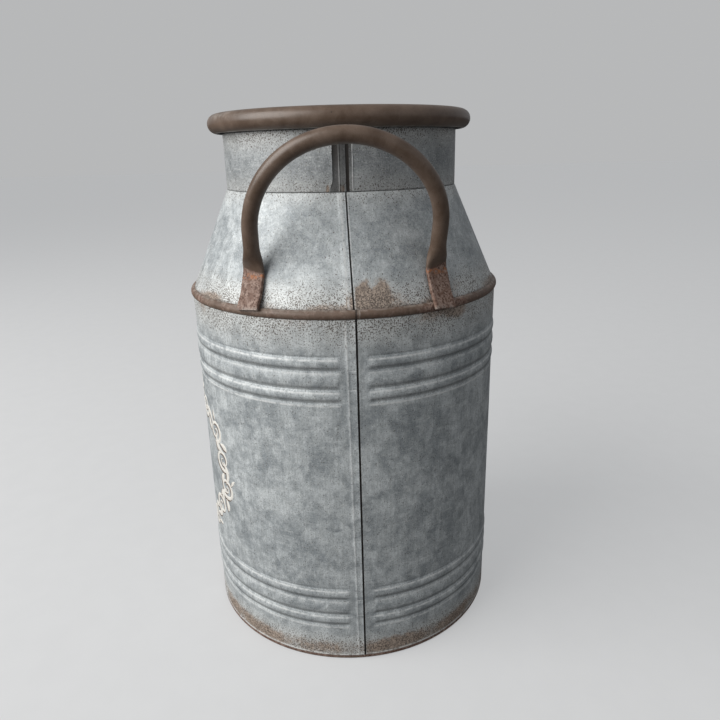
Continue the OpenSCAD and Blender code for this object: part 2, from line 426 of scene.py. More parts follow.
@dataclass(frozen=True)
class ZincFinish:
    """Weathered galvanised sheet, mottled, with rusty specks where its masks say so."""

    name: str
    light: Colour = (0.62, 0.655, 0.665)
    dark: Colour = (0.26, 0.287, 0.305)
    grain: float = 0.5
    metal: float = 0.22
    roughness: float = 0.58
    scuffs: float = 0.3
    grain_dark: Colour = (0.1, 0.105, 0.105)
    grain_pale: Colour = (0.78, 0.8, 0.79)
    drawn: Colour = (0.2, 0.215, 0.21)
    brushed: Colour = (0.72, 0.74, 0.73)
    bleached: Colour = (0.72, 0.72, 0.69)
    speck: Colour = (0.085, 0.065, 0.052)
    rust_deep: Colour = (0.14, 0.085, 0.05)
    rust_pale: Colour = (0.42, 0.31, 0.23)
    # Pale colour for wear and for painted highlights.
    worn: Colour = (0.8, 0.81, 0.8)
    # Near black for dirt and for painted shade.
    dirt: Colour = (0.018, 0.014, 0.012)

    def make(self) -> Material:
        """Returns the material."""
        g = Graph(self.name)
        patches = g.noise(24, 3, 0.5)
        clouds = g.noise(105, 6, 0.62, 0.6)
        crystals = g.crystals(78, 0.016)
        veil = g.noise(260, 4, 0.65, 0.4)
        tone = g.step(g.blend((patches, 0.4), (clouds, 0.6), (crystals, 0.12), (veil, 0.3)), 0.5, 0.92)
        colour = g.mix(tone, self.dark, self.light)
        colour = self.add_grain(g, colour)
        colour = self.add_specks(g, colour)
        colour = self.add_dirt(g, colour, clouds)
        gloss = g.step(clouds, 0.25, 0.75, self.roughness - 0.1, self.roughness + 0.1)
        g.fill(g.shader, Base_Color=colour, Metallic=self.bare_metal(g), Roughness=gloss)
        g.bump(g.blend((clouds, 0.5), (g.noise(900, 3, 0.6), 0.5)), 0.12 * MM)
        return g.material

    def add_grain(self, g: Graph, colour: object) -> object:
        """Lays fine pale and dark grain, and faint brushed scuffs, over the colour."""
        fine = g.noise(1050, 3, 0.7)
        dark = g.step(fine, 0.5, 0.3, 0.0, self.grain)
        pale = g.step(fine, 0.55, 0.72, 0.0, self.grain)
        brushed = g.step(g.noise(60, 4, 0.7, 0.2, (1, 1, 9)), 0.54, 0.72, 0.0, self.scuffs)
        drawn = g.step(g.noise(700, 3, 0.6, 0.0, (1, 1, 0.09)), 0.42, 0.62, 0.0, 0.22)
        colour = g.mix(dark, colour, self.grain_dark)
        colour = g.mix(pale, colour, self.grain_pale)
        colour = g.mix(drawn, colour, self.drawn)
        return g.mix(brushed, colour, self.brushed)

    def add_specks(self, g: Graph, colour: object) -> object:
        """Lays rusty specks on paler zinc, and a brown wash, by the mesh's masks."""
        density = g.mask(Mask.SPECK)
        uneven = g.times(density, g.step(g.noise(38, 4, 0.6), 0.25, 0.6, 0.55, 1.0))
        colour = g.mix(g.times(uneven, 0.5), colour, self.bleached)
        rust = g.mask(Mask.RUST)
        broken = g.blend((rust, 1.0), (g.noise(110, 5, 0.7), 0.6), (g.noise(700, 3, 0.6), 0.5))
        wash = g.times(g.step(broken, 0.85, 1.25, 0.0, 0.8), g.step(rust, 0.02, 0.3))
        tint = g.mix(g.step(g.noise(600, 3, 0.6), 0.35, 0.65), self.rust_deep, self.rust_pale)
        colour = g.mix(wash, colour, tint)
        dots = g.calc("ADD", g.noise(1150, 1, 0.5), g.times(uneven, 0.17))
        return g.mix(g.step(dots, 0.66, 0.72, 0.0, 0.85), colour, self.speck)

    def add_dirt(self, g: Graph, colour: object, clouds: object) -> object:
        """Lays dark dirt and painted shade into the gaps, valleys and creases, and pale wear and painted
        highlights along the edges.
        """
        broken = g.step(g.noise(300, 3, 0.6), 0.3, 0.55)
        # Wear mask: real wear, and painted highlights on bead tops and seam edges.
        wear = g.times(g.mask(Mask.WEAR), broken)
        colour = g.mix(g.times(wear, 0.8), colour, self.worn)
        # Grime mask: dirt, and painted shade in seam gaps, bead valleys, creases and hollows.
        grime = g.step(g.calc("ADD", g.mask(Mask.GRIME), g.times(clouds, 0.2)), 0.2, 0.9)
        return g.mix(grime, colour, self.dirt)

    def bare_metal(self, g: Graph) -> object:
        """Returns how metallic each place is: less where it is rusty, dirty or painted dark as shade."""
        cover = g.calc("MAXIMUM", g.mask(Mask.RUST), g.mask(Mask.GRIME))
        return g.step(cover, 0.0, 0.7, self.metal, 0.0)


@dataclass(frozen=True)
class PaintFinish:
    """Satin brown paint with a rubbed look and chips, and rust, wear, dirt, painted shade and painted
    highlights by the mesh's masks.
    """

    name: str
    deep: Colour = (0.085, 0.053, 0.035)
    rubbed: Colour = (0.165, 0.117, 0.088)
    roughness: float = 0.38
    chip: Colour = (0.035, 0.022, 0.016)
    # Pale colour for rubbed paint and for painted highlights.
    worn: Colour = (0.62, 0.6, 0.56)
    # Near black for dirt and for painted shade.
    dirt: Colour = (0.014, 0.01, 0.008)
    rust_deep: Colour = (0.15, 0.082, 0.058)
    rust_pale: Colour = (0.31, 0.22, 0.18)
    rust_fleck: Colour = (0.085, 0.04, 0.026)
    rust_fresh: Colour = (0.33, 0.13, 0.055)

    def make(self) -> Material:
        """Returns the material."""
        g = Graph(self.name)
        clouds = g.noise(70, 5, 0.6, 0.3)
        fine = g.noise(1300, 2, 0.6)
        colour = g.mix(g.step(g.blend((clouds, 0.8), (fine, 0.2)), 0.3, 0.72), self.deep, self.rubbed)
        chips = g.step(g.noise(520, 2, 0.5), 0.72, 0.75, 0.0, 0.8)
        colour = g.mix(chips, colour, self.chip)
        colour = self.add_rust(g, colour)
        # Wear mask: rubbed paint, and painted highlights on the rim's upper side and beside the band's joint.
        worn = g.times(g.mask(Mask.WEAR), g.step(g.noise(260, 3, 0.6), 0.35, 0.6))
        colour = g.mix(g.times(worn, 0.75), colour, self.worn)
        # Grime mask: painted shade inside the rim's tube, in the band's joint and under the band.
        colour = g.mix(g.mask(Mask.GRIME), colour, self.dirt)
        gloss = g.step(g.calc("ADD", g.mask(Mask.RUST), clouds), 0.3, 1.4, self.roughness - 0.05, 0.75)
        g.fill(g.shader, Base_Color=colour, Roughness=gloss)
        g.bump(g.blend((clouds, 0.4), (fine, 0.6)), 0.06 * MM)
        return g.material

    def add_rust(self, g: Graph, colour: object) -> object:
        """Lays a pinkish rust with dark and orange specks over the paint."""
        rust = g.mask(Mask.RUST)
        coat = g.step(g.blend((rust, 1.0), (g.noise(240, 4, 0.65), 0.5)), 0.5, 0.85)
        coat = g.times(coat, g.step(rust, 0.02, 0.2))
        base = g.mix(g.step(g.noise(260, 4, 0.65), 0.35, 0.65), self.rust_deep, self.rust_pale)
        base = g.mix(g.step(g.noise(700, 2, 0.6), 0.52, 0.6), base, self.rust_fleck)
        orange = g.times(g.step(rust, 0.8, 1.0), g.step(g.noise(420, 3, 0.6), 0.48, 0.6))
        base = g.mix(orange, base, self.rust_fresh)
        return g.mix(g.times(coat, 0.92), colour, base)


@dataclass(frozen=True)
class PrintFinish:
    """Flat paint of the printed scrolls, a little worn through."""

    name: str
    colour: Colour
    worn: Colour

    def make(self) -> Material:
        """Returns the material."""
        g = Graph(self.name)
        wear = g.step(g.noise(420, 4, 0.65), 0.55, 0.66, 0.0, 0.7)
        tone = g.mix(g.noise(120, 4, 0.6), self.colour, self.worn)
        colour = g.mix(wear, g.mix(0.7, tone, self.colour), self.worn)
        g.fill(g.shader, Base_Color=colour, Roughness=g.step(wear, 0.0, 1.0, 0.55, 0.7))
        g.bump(g.noise(900, 2, 0.6), 0.04 * MM)
        return g.material


# Seams


@dataclass(frozen=True)
class Seam:
    """A seam's section across its sheet, and how it wanders up the can.

    The section is read along u, metres round the can from the seam's right
    edge, with its left edge at minus width. Angles are directions in degrees.
    """

    width: float
    radius: float
    low_z: float
    high_z: float
    left: Point
    right: Point
    section: tuple[Point, ...]
    # gap is painted dark as the shadow beside the step; bright holds lines painted as highlights.
    gap: tuple[float, float]
    bright: tuple[float, ...]
    reach: float = 12.0

    def share(self, z: float) -> float:
        """Returns how far up the seam a height is, from 0 to 1."""
        return min(1.0, max(0.0, (z - self.low_z) / (self.high_z - self.low_z)))

    def stops(self) -> list[float]:
        """Returns the directions that the mesh needs an edge at, in degrees."""
        return [self.right[0] + degrees(u / self.radius) for u, _ in self.section]

    def across(self, az: float) -> float:
        """Returns u for a direction of the unshifted mesh."""
        return radians(az - self.right[0]) * self.radius

    def shifted(self, az: float, z: float) -> float:
        """Returns where a direction of the unshifted mesh lies at a height.

        Args:
            az: Direction in the unshifted mesh.
            z: Height.
        """
        t = self.share(z)
        left = self.left[0] + (self.left[1] - self.left[0]) * t
        right = self.right[0] + (self.right[1] - self.right[0]) * t
        base_left = self.right[0] - degrees(self.width / self.radius)
        return az + along([
            (base_left - self.reach, 0.0), (base_left, left - base_left),
            (self.right[0], right - self.right[0]), (self.right[0] + self.reach, 0.0),
        ], az)

    def apply(self, spot: Spot, strength: float = 1.0) -> None:
        """Raises a spot on the seam, paints shadow into the gap beside its step and paints highlights on its
        raised edges.

        Args:
            spot: The spot, whose direction is still that of the unshifted mesh.
            strength: Share of the seam's height.
        """
        u = self.across(spot.az)
        spot.r += along(self.section, u) * strength
        # Painted shadow in the gap.
        if self.gap[0] <= u <= self.gap[1]:
            spot.mark(grime=1.0)
        # Painted highlights on the raised edges.
        for edge in self.bright:
            if abs(u - edge) < 0.26 * MM:
                spot.mark(wear=0.6)


def in_mm(*points: Point) -> tuple[Point, ...]:
    """Returns points given in millimetres as metres."""
    return tuple((a * MM, b * MM) for a, b in points)


BODY_SEAM_SECTION = in_mm(
    (-6.8, 0), (-6.0, 0.04), (-5.5, 0.24), (-5.1, 0.4), (-4.7, 0.4), (-4.3, 0.3), (-3, 0.34), (-1.6, 0.44),
    (-0.5, 0.62), (-0.15, 0.7), (0, 0.55), (0.08, -0.3), (0.7, -0.42), (1.3, -0.3), (1.4, 0.06),
    (2.0, 0.12), (2.8, 0.02), (3.6, 0))
CONE_SEAM_SECTION = in_mm(
    (-5.6, 0), (-5.0, 0.06), (-4.4, 0.24), (-3.8, 0.4), (-3.2, 0.46), (-2.5, 0.46), (-1.2, 0.48),
    (-0.4, 0.56), (-0.12, 0.64), (0, 0.5), (0.06, -0.35), (0.5, -0.42), (0.95, -0.35), (1.02, 0.1),
    (1.4, 0.2), (2.1, 0.05), (3.2, 0))
NECK_SEAM_SECTION = in_mm(
    (-14.4, 0), (-13.4, 0.06), (-13.2, -0.28), (-12.9, -0.36), (-11.4, -0.34), (-9.7, -0.26), (-9.25, -0.1),
    (-9.05, 0.42), (-8.75, 0.44), (-8.5, 0.0), (-6.6, -0.08), (-4.8, -0.12), (-4.5, -0.4), (-3.6, -0.48),
    (-2.7, -0.38), (-2.5, -0.05), (-0.8, 0.12), (-0.35, 0.34), (-0.05, 0.34), (0.12, 0), (0.9, 0))


# Body assembly


@dataclass(frozen=True)
class BeadGroup:
    """Three swaged beads round the body, narrow, wide and narrow."""

    foot: float
    heights: tuple[float, ...] = (9.3 * MM, 13.4 * MM, 9.5 * MM)
    rise: float = 1.15 * MM
    dip: float = 0.45 * MM

    def edges(self) -> list[float]:
        """Returns the heights of the valleys, from the bottom up."""
        found = [self.foot]
        for height in self.heights:
            found.append(found[-1] + height)
        return found

    def offset(self, z: float) -> float:
        """Returns how far the sheet stands out at a height."""
        edges = self.edges()
        lead = 1.8 * MM
        if z <= edges[0]:
            return -self.dip * smooth(z, edges[0] - lead, edges[0])
        if z >= edges[-1]:
            return -self.dip * smooth(z, edges[-1] + lead, edges[-1])
        for low, high in zip(edges, edges[1:]):
            if z <= high:
                return self.rise * sin(pi * (z - low) / (high - low)) ** 1.05 - self.dip
        return 0.0

    def rows(self) -> list[float]:
        """Returns the heights at which the mesh needs an edge."""
        shares = (0.025, 0.07, 0.13, 0.22, 0.35, 0.5, 0.65, 0.78, 0.87, 0.93, 0.975, 1)
        edges = self.edges()
        found = [edges[0] - lead * MM for lead in (3.2, 2.6, 2.2, 1.8, 1.2, 0.6, 0.0)]
        for low, high in zip(edges, edges[1:]):
            found += [low + (high - low) * share for share in shares]
        return found + [edges[-1] + 0.6 * MM, edges[-1] + 1.2 * MM, edges[-1] + 1.8 * MM]

    def valley(self, z: float) -> float:
        """Returns 1 on the downward-facing foot of the bead above a valley, for painted shade."""
        return max(peak(z, edge + 2.0 * MM, 2.8 * MM) for edge in self.edges()[:-1])

    def top_edge(self, z: float) -> float:
        """Returns 1 on the upward-facing top of the bead under a valley, for a painted highlight."""
        return max(peak(z, edge - 2.2 * MM, 1.0 * MM) for edge in self.edges())


@dataclass
class BodyShell:
    """Rolled body sheet: folded foot, beads, lock seam and the band over the shoulder."""

    sizes: CanSizes
    zinc: Material
    paint: Material
    foot_round: float = 1.8 * MM
    hem: float = 3.2 * MM
    fold_gap: float = 1.4 * MM
    fold_h: float = 7.0 * MM
    bead_low: float = 31.7 * MM
    bead_high: float = 213.0 * MM
    dent_size: float = 55.0 * MM
    dent_depth: float = 0.22 * MM
    speck_h: float = 30.0 * MM
    stain_h: float = 16.0 * MM
    foot_speck_h: float = 28.0 * MM
    foot_stain_h: float = 25.0 * MM
    plain_from: float = -1.3
    plain_to: float = 6.2

    def __post_init__(self) -> None:
        """Sets up the bead groups and the seam."""
        self.groups = (BeadGroup(self.bead_low), BeadGroup(self.bead_high))
        self.seam = Seam(
            width=5.4 * MM, radius=self.sizes.body_r, low_z=0.0, high_z=self.sizes.band_z,
            left=(1.0, -0.25), right=(3.05, 2.92), section=BODY_SEAM_SECTION,
            gap=(0.05 * MM, 1.32 * MM), bright=(-5.1 * MM, -4.7 * MM))

    def outer_line(self) -> list[Point]:
        """Returns the outer line of the section, from the fold's inner leg up to the band's end."""
        s = self.sizes
        leg = s.wall_r - self.fold_gap
        line = [(leg - s.sheet, self.fold_h), (leg - s.sheet, 2 * MM), (leg - s.sheet, 0.3 * MM),
                (leg - 0.3 * MM, 0.0)]
        line += arc((s.body_r - self.foot_round, self.foot_round), self.foot_round, -90, 0, 6)
        line += [(s.body_r, self.hem - 0.35 * MM), (s.body_r - 0.28 * MM, self.hem),
                 (s.body_r, self.hem + 0.35 * MM)]
        rows: list[float] = [4.2 * MM, 5.0 * MM, 6.0 * MM]
        for group in self.groups:
            rows += levels(rows[-1], group.rows()[0], 5 * MM)[:-1] + group.rows()
        start = -degrees(acos((s.body_r - s.band_c) / s.band_tube))
        crease = s.band_z + s.band_tube * sin(radians(start))
        rows += levels(rows[-1], crease - 1.2 * MM, 4 * MM)
        line += [(s.body_r, z) for z in rows]
        line += [(s.body_r, crease - 0.5 * MM), (s.body_r - 0.3 * MM, crease - 0.05 * MM)]
        return line + arc((s.band_c, s.band_z), s.band_tube, start + 4, 91, 14)

    def inner_line(self) -> list[Point]:
        """Returns the inner line, from the band's end down inside to the fold's inner leg."""
        s = self.sizes
        inner_tube = s.band_tube - s.sheet
        end = -degrees(acos((s.wall_r - s.band_c) / inner_tube))
        line = arc((s.band_c, s.band_z), inner_tube, 91, end, 7)
        rows: list[float] = [self.hem]
        for group in self.groups:
            rows += levels(rows[-1], group.rows()[0], 15 * MM)[:-1] + group.rows()[::2]
        line += [(s.wall_r, z) for z in reversed(rows)]
        leg = s.wall_r - self.fold_gap
        return line + [(s.wall_r, s.sheet), (leg, s.sheet), (leg, self.fold_h)]

    def relief(self, spot: Spot) -> None:
        """Presses the beads and the seam into the sheet, and sets its masks."""
        s = self.sizes
        plain = smooth(spot.az, self.plain_from, self.plain_from - 1.6)
        plain = max(plain, smooth(spot.az, self.plain_to, self.plain_to + 1.6))
        foot, top = self.hem, s.band_z - 0.9 * s.band_tube
        on_wall = foot < spot.z < top
        spot.r += sum(group.offset(spot.z) for group in self.groups) * plain * on_wall
        uneven = dent(spot.az, spot.z, self.dent_size, self.dent_depth)
        spot.r += uneven * spot.rise(foot, 20 * MM) * on_wall
        if spot.outside:
            self.dirty(spot, plain)
            if on_wall:
                self.seam.apply(spot, spot.rise(foot, foot + 1 * MM))
                self.cross_creases(spot)
            elif spot.z >= top:
                self.band_joint(spot)
        spot.az = self.seam.shifted(spot.az, spot.z)

    def cross_creases(self, spot: Spot) -> None:
        """Carries the valleys of the beads faintly across the seam's strip."""
        if -self.seam.width < self.seam.across(spot.az) < 0:
            line = max(peak(spot.z, edge, 0.5 * MM) for group in self.groups for edge in group.edges()[1:3])
            spot.r -= 0.15 * MM * line
            spot.mark(wear=0.6 * line)

    def band_joint(self, spot: Spot) -> None:
        """Notches the band where the sheet's two ends meet, paints shadow into the notch, a highlight beside
        it and shade under the band, and rusts the band a little.
        """
        s = self.sizes
        u = self.seam.across(spot.az)
        joint = peak(u, 0.9 * MM, 1.1 * MM)
        spot.r -= 0.35 * MM * joint
        # Painted shadow in the notch and a painted highlight on the band beside it.
        spot.mark(grime=0.9 * joint, wear=0.5 * peak(u, 2.6 * MM, 0.8 * MM))
        # Painted shade on the band's underside, and rust over the band.
        spot.mark(grime=0.4 * spot.rise(s.band_z - 1.9 * MM, s.band_z - 2.8 * MM), rust=0.34)
        spot.mark(wear=0.25 * peak(spot.z, s.band_z + 3.0 * MM, 0.8 * MM))

    def dirty(self, spot: Spot, plain: float) -> None:
        """Sets the masks of the wall: specks and rust at foot and shoulder, wear above the hem, painted shade
        in the crease under the band, in the hem's groove and on the beads' lower flanks, and painted
        highlights on their upper flanks.
        """
        s = self.sizes
        crease = s.band_z - 2.8 * MM
        patchy = 0.5 + dent(spot.az, spot.z, 26 * MM, 0.9, 3.0)
        spot.mark(speck=spot.rise(s.band_z - self.speck_h, s.band_z - 5 * MM))
        spot.mark(speck=spot.rise(self.foot_speck_h, 12 * MM))
        right = smooth(spot.az, 3.0, 3.8) * smooth(spot.az, 60, 20)
        spot.mark(rust=(0.65 + 0.35 * right) * spot.rise(crease - self.stain_h, crease) * patchy)
        spot.mark(rust=spot.rise(self.foot_stain_h, 10 * MM) * (0.35 + 0.5 * patchy))
        # Painted shade in the crease under the band and in the hem's groove.
        spot.mark(grime=0.4 * peak(spot.z, crease, 0.9 * MM))
        spot.mark(grime=0.6 * peak(spot.z, self.hem, 0.5 * MM))
        spot.mark(wear=peak(spot.z, self.hem + 1.0 * MM, 1.3 * MM))
        # Painted shade on the beads' lower flanks and painted highlights on their upper flanks.
        for group in self.groups:
            spot.mark(grime=0.46 * group.valley(spot.z) * plain, wear=0.9 * group.top_edge(spot.z) * plain)

    def build(self) -> bpy.types.Object:
        """Returns the body."""
        fade = [self.plain_from - 1.6, self.plain_from - 1.0, self.plain_from - 0.5]
        fade_out = [self.plain_to, self.plain_to + 0.5, self.plain_to + 1.0, self.plain_to + 1.6]
        stops = sorted(fade + self.seam.stops() + fade_out)
        shell = Shell(self.outer_line(), self.inner_line(), stops)
        shell.press(self.relief)
        crease = self.sizes.band_z - 2.75 * MM
        shell.paint(1, lambda mid: mid.z > crease or (mid.z < self.hem and mid.xy.length > self.sizes.wall_r))
        return shell.finish("body_sheet", [self.zinc, self.paint], "body_shell")


@dataclass
class ShoulderCone:
    """Rolled conical sheet with its lock seam, and the collar that the neck fits over."""

    sizes: CanSizes
    zinc: Material
    fit: float = 0.3 * MM
    collar_h: float = 9.0 * MM
    patch_at: Point = (8.5, 284.0 * MM)
    patch_size: Point = (8.5, 9.5 * MM)
    speck_h: float = 24.0 * MM
    stain_h: float = 20.0 * MM
    strip_stain_h: float = 18.0 * MM

    def __post_init__(self) -> None:
        """Sets up the seam."""
        self.seam = Seam(
            width=4.2 * MM, radius=100 * MM, low_z=self.sizes.band_z, high_z=self.sizes.neck_z,
            left=(0.5, -1.5), right=(2.45, 1.55), section=CONE_SEAM_SECTION,
            gap=(0.05 * MM, 0.98 * MM), bright=(-3.2 * MM, -2.5 * MM, 1.4 * MM))

    def build(self) -> bpy.types.Object:
        """Returns the shoulder."""
        s = self.sizes
        foot_z = s.band_z - 1.0 * MM
        turn_z = s.neck_z - self.fit
        thick = s.sheet / cos(radians(s.slope))
        collar = s.neck_r - s.sheet - self.fit
        rows = [foot_z] + levels(foot_z, turn_z - 0.4 * MM, 2.2 * MM)
        outer = [(s.cone_r(z), z) for z in rows]
        outer += [(s.cone_r(turn_z) - 0.25 * MM, turn_z), (collar, turn_z + 0.05 * MM)]
        outer += [(collar, s.neck_z + self.collar_h)]
        inner = [(collar - s.sheet, s.neck_z + self.collar_h), (collar - s.sheet, turn_z - s.sheet)]
        inner += [(s.cone_r(z) - thick, z) for z in reversed(rows[:-1:3])]
        shell = Shell(outer, inner, self.seam.stops())
        shell.press(self.relief)
        return shell.finish("shoulder_sheet", [self.zinc], "shoulder_cone")

    def relief(self, spot: Spot) -> None:
        """Presses the seam and faint dents into the sheet, and sets its masks."""
        s = self.sizes
        low, high = s.band_z + s.band_tube + self.fit, s.neck_z - 0.5 * MM
        window = spot.rise(low - 2 * MM, low) * (spot.z < high)
        spot.r += dent(spot.az, spot.z, 42 * MM, 0.2 * MM, 5.0) * window
        if spot.outside:
            self.seam.apply(spot, window)
            self.dirty(spot)
        if spot.z < s.neck_z:
            spot.az = self.seam.shifted(spot.az, spot.z)

    def dirty(self, spot: Spot) -> None:
        """Sets the masks: specks and rust above the band, specks below the neck, and painted shade in the
        crease above the band and at the joint with the neck.
        """
        s = self.sizes
        top = s.band_z + s.band_tube
        patchy = 0.55 + dent(spot.az, spot.z, 24 * MM, 0.9, 9.0)
        spot.mark(speck=spot.rise(top + self.speck_h, top + 3 * MM))
        spot.mark(speck=0.55 * spot.rise(s.neck_z - 14 * MM, s.neck_z))
        patch = hypot((spot.az - self.patch_at[0]) / self.patch_size[0],
                           (spot.z - self.patch_at[1]) / self.patch_size[1])
        patch += dent(spot.az, spot.z, 7 * MM, 0.6, 11.0)
        spot.mark(rust=smooth(patch, 1.45, 0.4) * (spot.az > 3.1))
        spot.mark(rust=0.85 * spot.rise(top + 9 * MM, top) * patchy)
        right = smooth(spot.az, 3, 8) * smooth(spot.az, 80, 40)
        spot.mark(rust=0.6 * right * spot.rise(top + self.stain_h, top + 6 * MM) * patchy)
        on_strip = -self.seam.width < self.seam.across(spot.az) < 0
        spot.mark(rust=0.8 * on_strip * spot.rise(top + self.strip_stain_h, top + 2 * MM))
        # Painted shade in the crease above the band and at the joint with the neck.
        spot.mark(grime=0.55 * spot.rise(top + 0.9 * MM, top - 0.3 * MM))
        spot.mark(grime=0.3 * spot.rise(s.neck_z - 0.8 * MM, s.neck_z - 0.4 * MM))


@dataclass
class NeckCollar:
    """Straight rolled strip with a wide lap seam, one corner of it lifted."""

    sizes: CanSizes
    zinc: Material
    lifted_h: float = 8.0 * MM
    lifted_by: float = 0.9 * MM
    lifted_out: float = 2.4 * MM
    speck_h: float = 18.0 * MM
    foot_speck_h: float = 16.0 * MM

    def __post_init__(self) -> None:
        """Sets up the seam."""
        self.seam = Seam(
            width=13.2 * MM, radius=self.sizes.neck_r, low_z=self.sizes.neck_z, high_z=self.sizes.rim_z,
            left=(-3.45, -3.45), right=(5.2, 5.2), section=NECK_SEAM_SECTION,
            gap=(-4.55 * MM, -2.65 * MM), bright=(-9.05 * MM, -8.75 * MM, -0.2 * MM))

    def build(self) -> bpy.types.Object:
        """Returns the neck."""
        s = self.sizes
        low, high = s.neck_z + 0.05 * MM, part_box("neck_collar")[1].z
        inner_r = s.neck_r - s.sheet
        edge = 0.2 * MM
        rows = [low + edge] + levels(low + edge, high - edge, 1.6 * MM)
        outer = [(s.neck_r - edge, low)] + [(s.neck_r, z) for z in rows]
        inner = [(inner_r, high)] + [(inner_r, z) for z in reversed(rows[::3])] + [(inner_r, low)]
        shell = Shell(outer, inner, self.seam.stops())
        shell.press(self.relief)
        return shell.finish("neck_strip", [self.zinc], "neck_collar")

    def relief(self, spot: Spot) -> None:
        """Presses the seam into the strip, lifts its corner and sets the masks."""
        s = self.sizes
        under_rim = s.rim_z - s.rim_tube
        spot.r += dent(spot.az, spot.z, 38 * MM, 0.12 * MM, 7.0)
        if not spot.outside:
            return
        u = self.seam.across(spot.az)
        self.seam.apply(spot, spot.rise(under_rim + 6 * MM, under_rim + 3 * MM))
        corner = spot.rise(s.neck_z + self.lifted_h, s.neck_z) * peak(u, -13.1 * MM, 1.7 * MM)
        spot.az -= degrees(self.lifted_out * corner / s.neck_r)
        spot.r += self.lifted_by * corner
        on_strip = -self.seam.width < u < 0
        spot.mark(wear=1.3 * corner)
        # Darkens the lap strip, more towards its top and on its recessed left part.
        strip_top = 0.75 + 0.25 * spot.rise(s.neck_z + 8 * MM, s.neck_z + 30 * MM)
        left_part = on_strip and u < -9.4 * MM
        spot.mark(grime=strip_top * (0.74 if left_part else 0.6) * on_strip * (u < -0.5 * MM))
        spot.mark(speck=0.85 * spot.rise(under_rim - self.speck_h, under_rim))
        spot.mark(speck=0.55 * spot.rise(s.neck_z + self.foot_speck_h, s.neck_z))
        # Painted shade under the rim ring and at the joint with the shoulder.
        spot.mark(grime=0.85 * spot.rise(under_rim - 2 * MM, under_rim + 1.5 * MM))
        spot.mark(grime=0.5 * spot.rise(s.neck_z + 0.5 * MM, s.neck_z + 0.1 * MM))
        low_down = spot.rise(s.neck_z + 7 * MM, s.neck_z + 2 * MM)
        rusty = max(peak(u, -16.5 * MM, 2.6 * MM), peak(u, -7.5 * MM, 3 * MM))
        spot.mark(rust=low_down * rusty)


@dataclass
class RimRing:
    """Split tube slipped over the neck's edge, open underneath."""

    sizes: CanSizes
    paint: Material
    slot_w: float = 4.2 * MM

    def build(self) -> bpy.types.Object:
        """Returns the rim."""
        s = self.sizes
        centre = (s.rim_r, s.rim_z)
        inner_tube = s.rim_tube - s.sheet
        lip = -degrees(acos((s.neck_r + self.slot_w - s.rim_r) / s.rim_tube))
        inside = 180 + degrees(acos((s.rim_r - s.neck_r + s.sheet + 0.3 * MM) / inner_tube))
        outer = arc(centre, s.rim_tube, lip + 1.5, inside, 34)
        inner = arc(centre, inner_tube, inside, lip + 2.5, 20)
        inner.append((inner[-1][0] + 0.1 * MM, outer[0][1] + 0.15 * MM))
        shell = Shell(outer, inner, [0.0, 180.0], 1.9)
        shell.press(self.relief)
        return shell.finish("rim_tube", [self.paint], "rim_ring")

    def relief(self, spot: Spot) -> None:
        """Rubs the ring's lip bright, paints shade over the inside of the tube and a highlight on its upper
        side towards -Y, and leaves the rest faintly uneven.
        """
        s = self.sizes
        bottom = s.rim_z - s.rim_tube
        spot.r -= abs(dent(spot.az, spot.z, 30 * MM, 0.16 * MM, 2.0))
        # Rubbed lip, and painted shade over the inside of the tube.
        spot.mark(wear=0.75 * spot.rise(bottom + 0.55 * MM, bottom + 0.1 * MM), grime=1.0 - spot.outside)
        # Painted highlight on the upper side that faces the window lamp.
        spot.mark(wear=0.25 * peak(spot.az, -62, 34) * peak(spot.z, s.rim_z + 4 * MM, 4 * MM))


@dataclass
class BasePan:
    """Pressed base with a raised middle, held in the folded foot."""

    sizes: CanSizes
    zinc: Material
    step_r: float = 88.0 * MM
    step_h: float = 2.0 * MM
    slant: float = 4.0 * MM
    dish: float = 0.6 * MM

    def build(self) -> bpy.types.Object:
        """Returns the base."""
        s = self.sizes
        low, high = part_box("base_pan")
        under = high.z - s.sheet
        rim = high.y
        base = under - self.step_h
        slant = self.slant
        top = [(rim, low.z), (rim, base + s.sheet - 0.5 * MM), (rim - 0.5 * MM, base + s.sheet)]
        top += [(r, base + s.sheet) for r in (rim - 6 * MM, self.step_r + slant + 3 * MM)]
        top += [(self.step_r + slant, base + s.sheet), (self.step_r + 3 * MM, base + s.sheet + 0.5 * MM),
                (self.step_r + 1 * MM, high.z - 0.3 * MM), (self.step_r - 1 * MM, high.z)]
        top += [(r * MM, high.z) for r in (70, 50, 30, 12, 0.01)]
        below = [(0.01 * MM, under), (self.step_r, under), (self.step_r + slant, base),
                 (rim - s.sheet, base), (rim - s.sheet, low.z)]
        shell = Shell(top, below, [0.0, 180.0], 3.0)
        shell.press(self.relief)
        bmesh.ops.remove_doubles(shell.bm, verts=shell.bm.verts, dist=0.03 * MM)
        return shell.finish("base_disc", [self.zinc], "base_pan")

    def relief(self, spot: Spot) -> None:
        """Dishes the middle a little and darkens the step and the edge."""
        inside = smooth(spot.r, self.step_r, self.step_r - 30 * MM)
        spot.z -= self.dish * inside + abs(dent(spot.az, spot.r, 40 * MM, 0.2 * MM, 4.0)) * inside
        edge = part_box("base_pan")[1].y
        spot.mark(grime=0.5 * smooth(spot.r, edge - 7 * MM, edge))
        spot.mark(grime=0.35 * peak(spot.r, self.step_r + 5 * MM, 4 * MM))
        spot.mark(speck=0.7 * smooth(spot.r, edge - 25 * MM, edge - 5 * MM))
        spot.mark(rust=0.5 * smooth(spot.r, edge - 12 * MM, edge))


# Handles


class Side(Enum):
    """The side of the can that a handle is on, as its turn in degrees."""

    RIGHT = 0.0
    LEFT = 180.0


